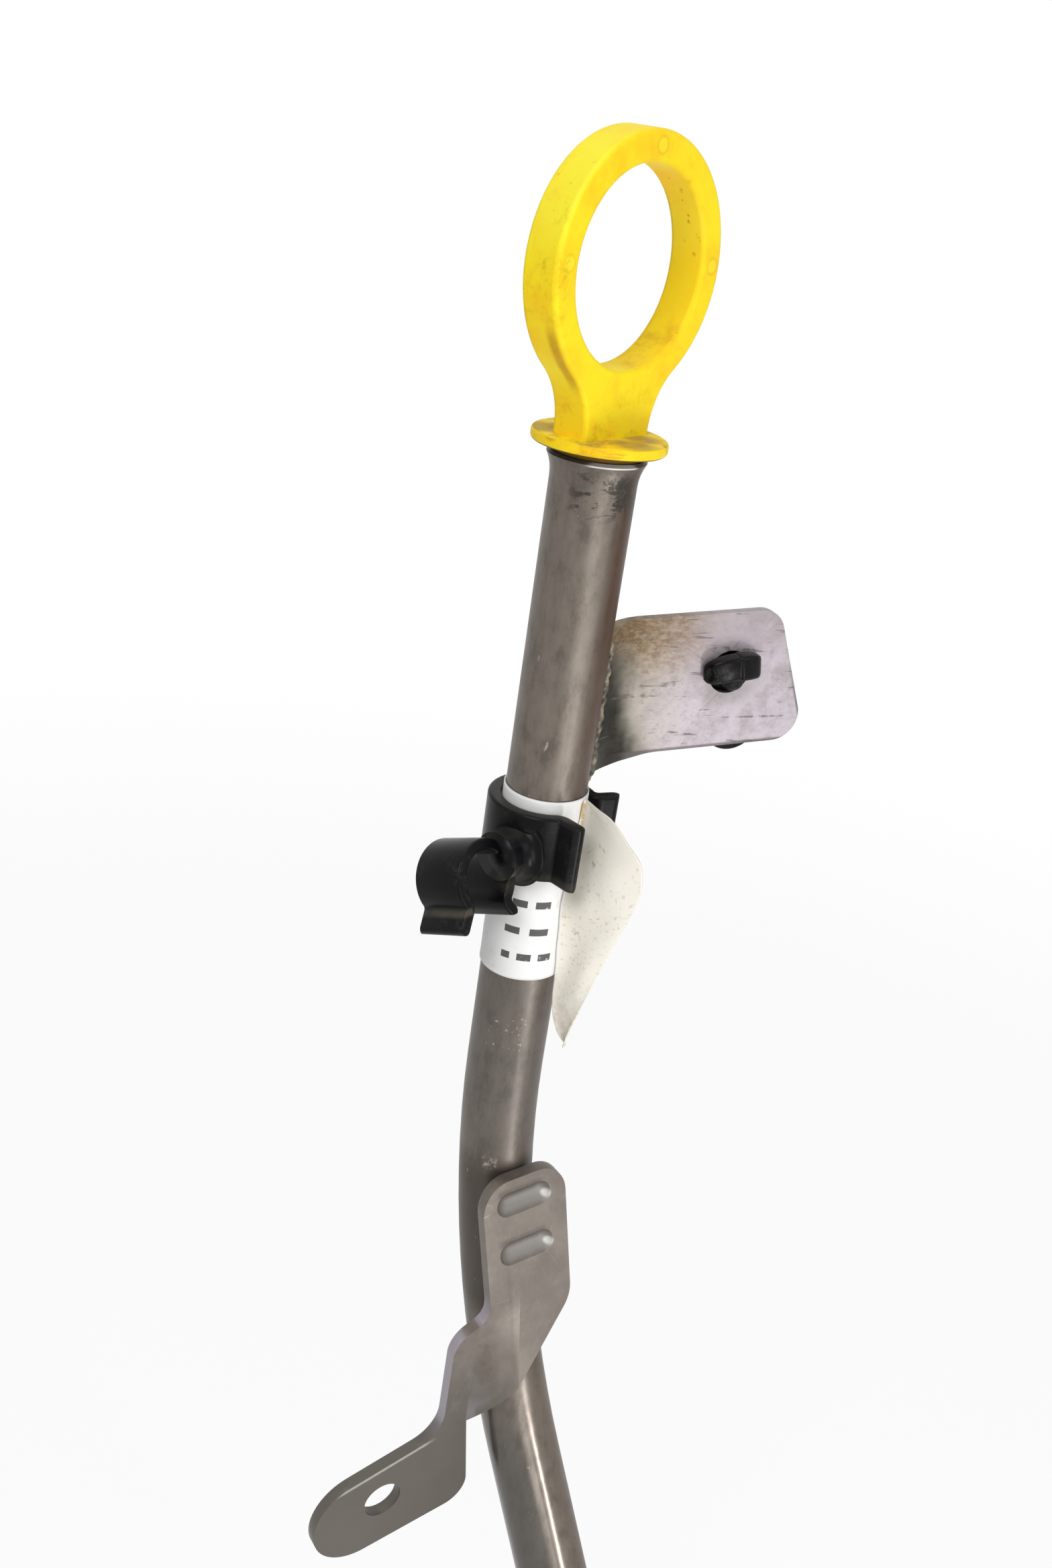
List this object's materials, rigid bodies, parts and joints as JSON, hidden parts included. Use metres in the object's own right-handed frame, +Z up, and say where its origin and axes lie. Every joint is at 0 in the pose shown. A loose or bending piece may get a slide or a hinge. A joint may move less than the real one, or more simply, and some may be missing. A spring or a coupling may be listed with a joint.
{
  "type": "engine oil dipstick",
  "caption": "Engine oil dipstick with a yellow finger ring, in a bent steel guide tube that carries a bolt-on stay, a harness bracket, a pipe clip and a wrapped label.",
  "frame": {"origin": "centre of the stay's bolt hole, in the middle of its sheet", "axes": "+Z up the straight upper run of the tube towards the finger ring, -Y the way the tube's lower run leans and the ring faces, +X from the bolt hole towards the tube"},
  "size_m": [0.0806, 0.086, 0.3289],
  "materials": {
    "tube_steel": "satin, lightly scuffed",
    "hanger_steel": "satin, stained near the joint",
    "stay_steel": "satin",
    "black_plastic": "satin, dusty",
    "label_film": "matte, yellowed at the free end",
    "yellow_plastic": "semi-gloss moulding",
    "seal_rubber": "matte",
    "blade_steel": "bright spring steel"
  },
  "bodies": {
    "guide": {"guide_tube": "tube_steel", "upper_bracket": "hanger_steel", "lower_bracket": "stay_steel", "harness_clip": "black_plastic", "pipe_clip": "black_plastic", "label": "label_film"},
    "dipstick": {"handle": "yellow_plastic", "upper_seal": "seal_rubber", "lower_seal": "seal_rubber", "blade": "blade_steel"}
  },
  "joints": [
    {"name": "dipstick_pull", "type": "slide", "parent": "guide", "child": "dipstick", "axis": [0, 0, 1], "range_m": [0, 0.31], "deforming": ["blade"]}
  ]
}
